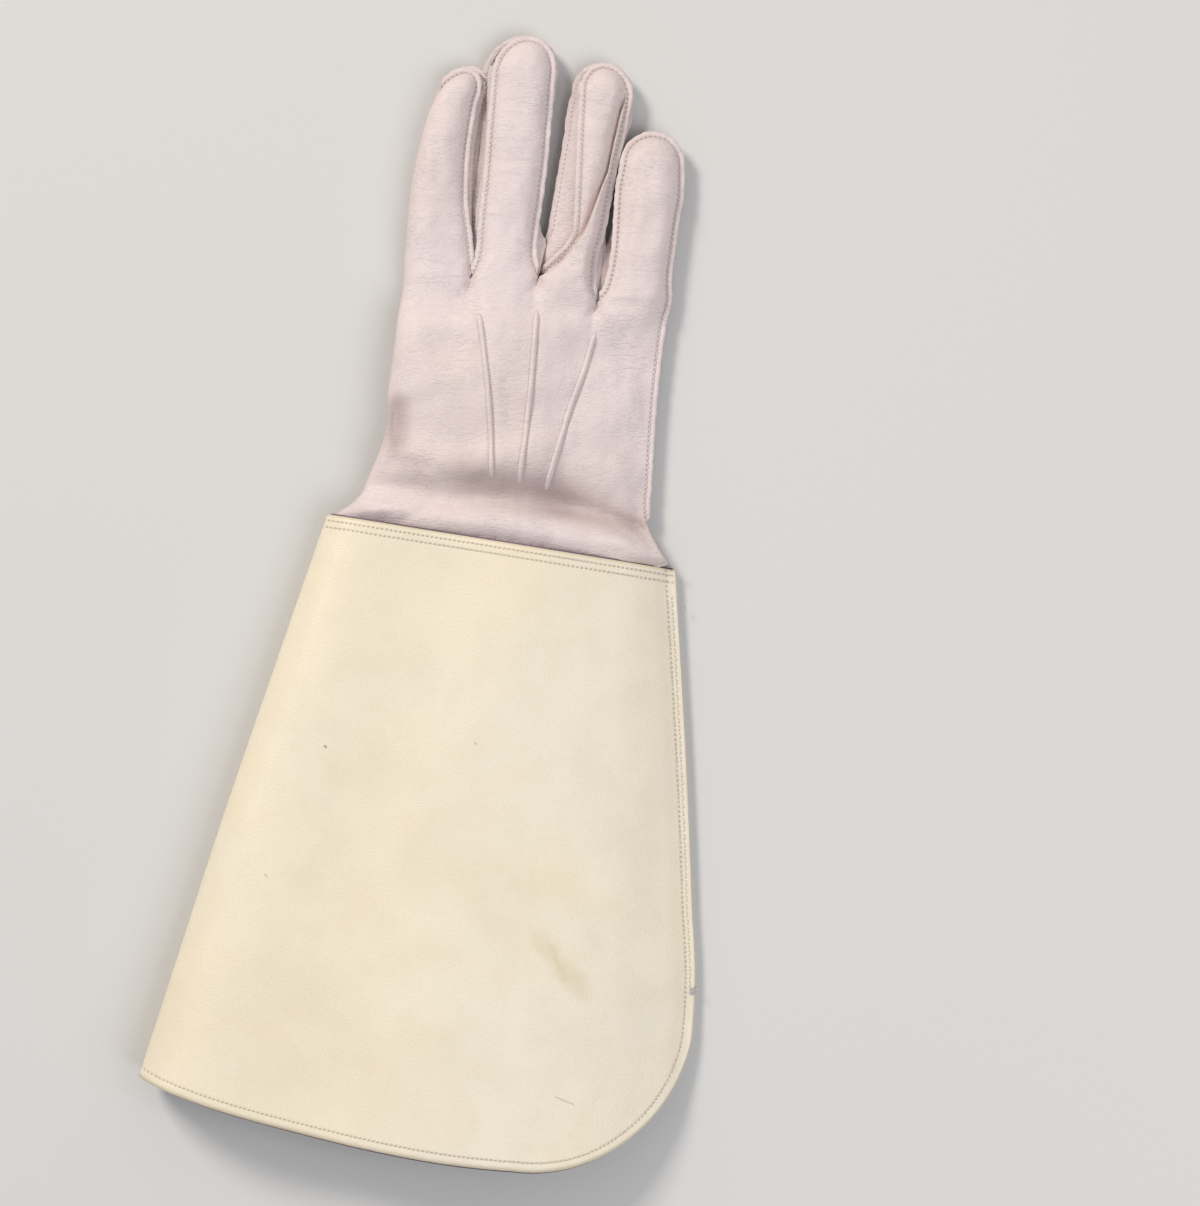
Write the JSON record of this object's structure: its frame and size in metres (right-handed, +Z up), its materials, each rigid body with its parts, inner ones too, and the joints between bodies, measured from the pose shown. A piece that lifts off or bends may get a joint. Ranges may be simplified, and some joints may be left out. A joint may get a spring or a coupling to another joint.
{
  "type": "gauntlet glove",
  "caption": "Soft leather dress glove for the right hand with a stiff flared gauntlet cuff, seamed fingers and raised points on the back.",
  "frame": {"origin": "on the surface that the glove lies on, under the middle of its outline", "axes": "+X towards the little-finger side, +Y towards the fingertips, +Z up from the palm to the back of the hand"},
  "size_m": [0.2138, 0.4368, 0.0339],
  "materials": {
    "glove_leather": "soft dressed leather, lilac white, matt sheen",
    "fourchette_leather": "the same soft leather, slightly duller",
    "cuff_leather": "stiff cream leather, satin, fine pebble grain",
    "cuff_lining": "thin lilac backing, matt"
  },
  "bodies": {
    "root": {"hand": "glove_leather", "fourchette_index_middle": "fourchette_leather", "fourchette_middle_ring": "fourchette_leather", "fourchette_ring_little": "fourchette_leather", "thumb": "glove_leather", "cuff_outer": "cuff_leather", "cuff_lining": "cuff_lining"}
  },
  "joints": []
}
